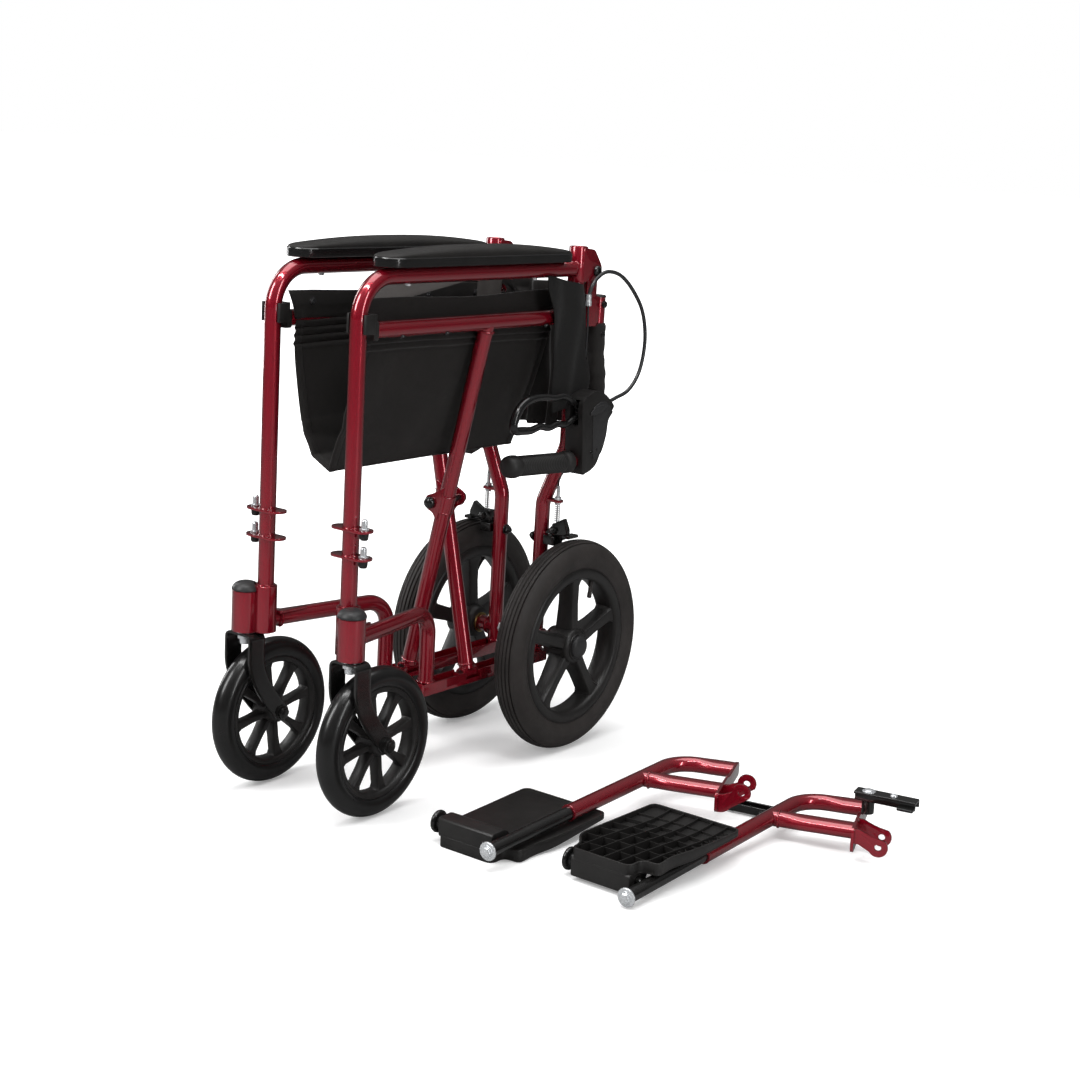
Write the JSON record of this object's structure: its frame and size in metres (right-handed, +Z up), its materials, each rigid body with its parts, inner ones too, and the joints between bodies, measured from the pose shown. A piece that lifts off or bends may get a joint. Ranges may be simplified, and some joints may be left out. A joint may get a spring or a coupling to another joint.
{
  "type": "folding transport wheelchair",
  "caption": "Laterally folded attendant-propelled transport wheelchair with tubular frame, sling seat, folded-down back, brake levers and detached swing-away footrests.",
  "frame": {"origin": "centre of the footprint of the folded chair with its two detached footrests, on the floor", "axes": "+X towards the chair's left side, where the footrests lie; +Y towards its back; +Z up"},
  "size_m": [0.8158, 0.6766, 0.7447],
  "materials": {
    "frame_red": "gloss candy red powder coat",
    "black_steel": "gloss black paint",
    "zinc": "zinc plated",
    "tyre": "matt grey-black rubber",
    "black_plastic": "moulded black nylon",
    "grip_rubber": "dark grey soft-touch",
    "black_nylon": "black woven nylon",
    "arm_pad_vinyl": "black skinned foam"
  },
  "bodies": {
    "left_frame": {"side_frame_left": "frame_red", "caster_cap_left": "grip_rubber", "arm_pad_left": "arm_pad_vinyl", "hanger_pin_left": "zinc", "rear_axle_left": "zinc", "brake_bracket_left": "black_steel", "back_hinge_bolt_left": "black_steel", "back_fabric_lower_left": "black_nylon"},
    "brace_q": {"cross_brace_rear": "frame_red", "cross_pivot_bolt": "black_steel"},
    "brace_p": {"cross_brace_front": "frame_red"},
    "right_frame": {"side_frame_right": "frame_red", "caster_cap_right": "grip_rubber", "arm_pad_right": "arm_pad_vinyl", "hanger_pin_right": "zinc", "rear_axle_right": "zinc", "brake_bracket_right": "black_steel", "back_hinge_bolt_right": "black_steel"},
    "guides_left": {"seat_guide_front_left": "black_plastic", "seat_guide_rear_left": "black_plastic"},
    "guides_right": {"seat_guide_front_right": "black_plastic", "seat_guide_rear_right": "black_plastic"},
    "sling_left": {"seat_sling_left": "black_nylon"},
    "sling_right": {"seat_sling_right": "black_nylon"},
    "rear_wheel_left": {"rear_wheel_left": "black_plastic", "rear_tyre_left": "tyre"},
    "caster_fork_left": {"caster_fork_left": "black_steel", "caster_axle_left": "black_steel"},
    "caster_wheel_left": {"caster_wheel_left": "black_plastic", "caster_tyre_left": "tyre"},
    "back_cane_left": {"back_cane_left": "frame_red", "push_grip_left": "grip_rubber", "lever_housing_left": "black_plastic", "back_fabric_upper_left": "black_nylon"},
    "brake_lever_left": {"brake_lever_left": "grip_rubber"},
    "brake_arm_left": {"brake_arm_left": "black_steel"},
    "rear_wheel_right": {"rear_wheel_right": "black_plastic", "rear_tyre_right": "tyre"},
    "caster_fork_right": {"caster_fork_right": "black_steel", "caster_axle_right": "black_steel"},
    "caster_wheel_right": {"caster_wheel_right": "black_plastic", "caster_tyre_right": "tyre"},
    "back_cane_right": {"back_cane_right": "frame_red", "push_grip_right": "grip_rubber", "lever_housing_right": "black_plastic"},
    "brake_lever_right": {"brake_lever_right": "grip_rubber"},
    "brake_arm_right": {"brake_arm_right": "black_steel"},
    "back_sheet_lower_right": {"back_fabric_lower_right": "black_nylon"},
    "back_sheet_upper_right": {"back_fabric_upper_right": "black_nylon"},
    "hanger_left": {"footrest_hanger_left": "frame_red"},
    "lower_tube_left": {"footrest_lower_tube_left": "black_steel"},
    "footplate_left": {"footplate_left": "black_plastic"},
    "latch_left": {"latch_lever_left": "black_steel"},
    "hanger_right": {"footrest_hanger_right": "frame_red"},
    "lower_tube_right": {"footrest_lower_tube_right": "black_steel"},
    "footplate_right": {"footplate_right": "black_plastic"},
    "latch_right": {"latch_lever_right": "black_steel"}
  },
  "joints": [
    {"name": "cross_fold", "type": "hinge", "parent": "left_frame", "child": "brace_q", "pos_m": [-0.24313, 0.02233, 0.132], "axis": [0, -1, 0], "range_deg": [0, 37]},
    {"name": "cross_pivot_turn", "type": "hinge", "parent": "brace_q", "child": "brace_p", "pos_m": [-0.28173, 0.00233, 0.3804], "axis": [0, -1, 0], "range_deg": [-74, 0]},
    {"name": "right_frame_turn", "type": "hinge", "parent": "brace_p", "child": "right_frame", "pos_m": [-0.32033, -0.01767, 0.132], "axis": [0, -1, 0], "range_deg": [0, 37]},
    {"name": "guides_left_turn", "type": "hinge", "parent": "brace_p", "child": "guides_left", "pos_m": [-0.20573, -0.27217, 0.64], "axis": [0, -1, 0], "range_deg": [0, 37]},
    {"name": "guides_right_turn", "type": "hinge", "parent": "brace_q", "child": "guides_right", "pos_m": [-0.35773, -0.27217, 0.64], "axis": [0, -1, 0], "range_deg": [-37, 0]},
    {"name": "sling_left_turn", "type": "hinge", "parent": "brace_p", "child": "sling_left", "pos_m": [-0.21573, -0.01867, 0.655], "axis": [0, 1, 0], "range_deg": [0, 35.38]},
    {"name": "sling_right_turn", "type": "hinge", "parent": "brace_q", "child": "sling_right", "pos_m": [-0.34773, -0.01867, 0.655], "axis": [0, -1, 0], "range_deg": [0, 35.38]},
    {"name": "rear_wheel_left_spin", "type": "hinge", "parent": "left_frame", "child": "rear_wheel_left", "pos_m": [-0.18493, 0.18133, 0.157], "axis": [1, 0, 0], "continuous": true},
    {"name": "caster_left_swivel", "type": "hinge", "parent": "left_frame", "child": "caster_fork_left", "pos_m": [-0.18573, -0.28767, 0.25], "axis": [0, 0, -1], "continuous": true},
    {"name": "caster_wheel_left_spin", "type": "hinge", "parent": "caster_fork_left", "child": "caster_wheel_left", "pos_m": [-0.18573, -0.23767, 0.1016], "axis": [1, 0, 0], "continuous": true},
    {"name": "back_fold_left", "type": "hinge", "parent": "left_frame", "child": "back_cane_left", "pos_m": [-0.20573, 0.20893, 0.704], "axis": [1, 0, 0], "range_deg": [0, 180]},
    {"name": "brake_lever_left_squeeze", "type": "hinge", "parent": "back_cane_left", "child": "brake_lever_left", "pos_m": [-0.17773, 0.16933, 0.506], "axis": [1, 0, 0], "range_deg": [0, 10]},
    {"name": "brake_arm_left_turn", "type": "hinge", "parent": "left_frame", "child": "brake_arm_left", "pos_m": [-0.21423, 0.17583, 0.3247], "axis": [0, 1, 0], "range_deg": [0, 4.5]},
    {"name": "rear_wheel_right_spin", "type": "hinge", "parent": "right_frame", "child": "rear_wheel_right", "pos_m": [-0.37853, 0.18133, 0.157], "axis": [1, 0, 0], "continuous": true},
    {"name": "caster_right_swivel", "type": "hinge", "parent": "right_frame", "child": "caster_fork_right", "pos_m": [-0.37773, -0.28767, 0.25], "axis": [0, 0, 1], "continuous": true},
    {"name": "caster_wheel_right_spin", "type": "hinge", "parent": "caster_fork_right", "child": "caster_wheel_right", "pos_m": [-0.37773, -0.23767, 0.1016], "axis": [1, 0, 0], "continuous": true},
    {"name": "back_fold_right", "type": "hinge", "parent": "right_frame", "child": "back_cane_right", "pos_m": [-0.35773, 0.20893, 0.704], "axis": [1, 0, 0], "range_deg": [0, 180]},
    {"name": "brake_lever_right_squeeze", "type": "hinge", "parent": "back_cane_right", "child": "brake_lever_right", "pos_m": [-0.38573, 0.16933, 0.506], "axis": [1, 0, 0], "range_deg": [0, 10]},
    {"name": "brake_arm_right_turn", "type": "hinge", "parent": "right_frame", "child": "brake_arm_right", "pos_m": [-0.34923, 0.17583, 0.3247], "axis": [0, -1, 0], "range_deg": [0, 4.5]},
    {"name": "back_sheet_lower_spread", "type": "slide", "parent": "left_frame", "child": "back_sheet_lower_right", "axis": [-1, 0, 0], "range_m": [0, 0.28345]},
    {"name": "back_sheet_upper_spread", "type": "slide", "parent": "back_cane_left", "child": "back_sheet_upper_right", "axis": [-1, 0, 0], "range_m": [0, 0.28345]},
    {"name": "footrest_left_lift", "type": "slide", "parent": "left_frame", "child": "hanger_left", "axis": [0, 0, 1], "range_m": [0, 0.3]},
    {"name": "footrest_left_length", "type": "slide", "parent": "hanger_left", "child": "lower_tube_left", "axis": [0, -0.9993, -0.0384], "range_m": [0, 0.1]},
    {"name": "footplate_left_flip", "type": "hinge", "parent": "lower_tube_left", "child": "footplate_left", "pos_m": [0.18127, -0.21085, 0.01923], "axis": [1, 0, 0], "range_deg": [0, 90]},
    {"name": "latch_left_turn", "type": "hinge", "parent": "hanger_left", "child": "latch_left", "pos_m": [0.33627, 0.15988, 0.05949], "axis": [0, -0.0384, 0.9993], "range_deg": [0, 25]},
    {"name": "footrest_right_lift", "type": "slide", "parent": "left_frame", "child": "hanger_right", "axis": [0, 0, 1], "range_m": [0, 0.3]},
    {"name": "footrest_right_length", "type": "slide", "parent": "hanger_right", "child": "lower_tube_right", "axis": [0, -0.9993, -0.0384], "range_m": [0, 0.1]},
    {"name": "footplate_right_flip", "type": "hinge", "parent": "lower_tube_right", "child": "footplate_right", "pos_m": [-0.00573, -0.24214, 0.02504], "axis": [-1, 0, 0], "range_deg": [0, 90]},
    {"name": "latch_right_turn", "type": "hinge", "parent": "hanger_right", "child": "latch_right", "pos_m": [0.14927, 0.13058, 0.01334], "axis": [0, 0.0384, -0.9993], "range_deg": [0, 25]}
  ],
  "couplings": [
    {"joint": "cross_pivot_turn", "follows": "cross_fold", "ratio": -2},
    {"joint": "right_frame_turn", "follows": "cross_fold", "ratio": 1},
    {"joint": "guides_left_turn", "follows": "cross_fold", "ratio": 1},
    {"joint": "guides_right_turn", "follows": "cross_fold", "ratio": -1},
    {"joint": "sling_left_turn", "follows": "cross_fold", "ratio": 0.95613},
    {"joint": "sling_right_turn", "follows": "cross_fold", "ratio": 0.95613},
    {"joint": "brake_arm_left_turn", "follows": "brake_lever_left_squeeze", "ratio": 0.45},
    {"joint": "brake_arm_right_turn", "follows": "brake_lever_right_squeeze", "ratio": 0.45},
    {"joint": "back_fold_right", "follows": "back_fold_left", "ratio": 1},
    {"joint": "back_sheet_lower_spread", "follows": "cross_fold", "m_per_rad": 0.43891},
    {"joint": "back_sheet_upper_spread", "follows": "cross_fold", "m_per_rad": 0.43891}
  ]
}
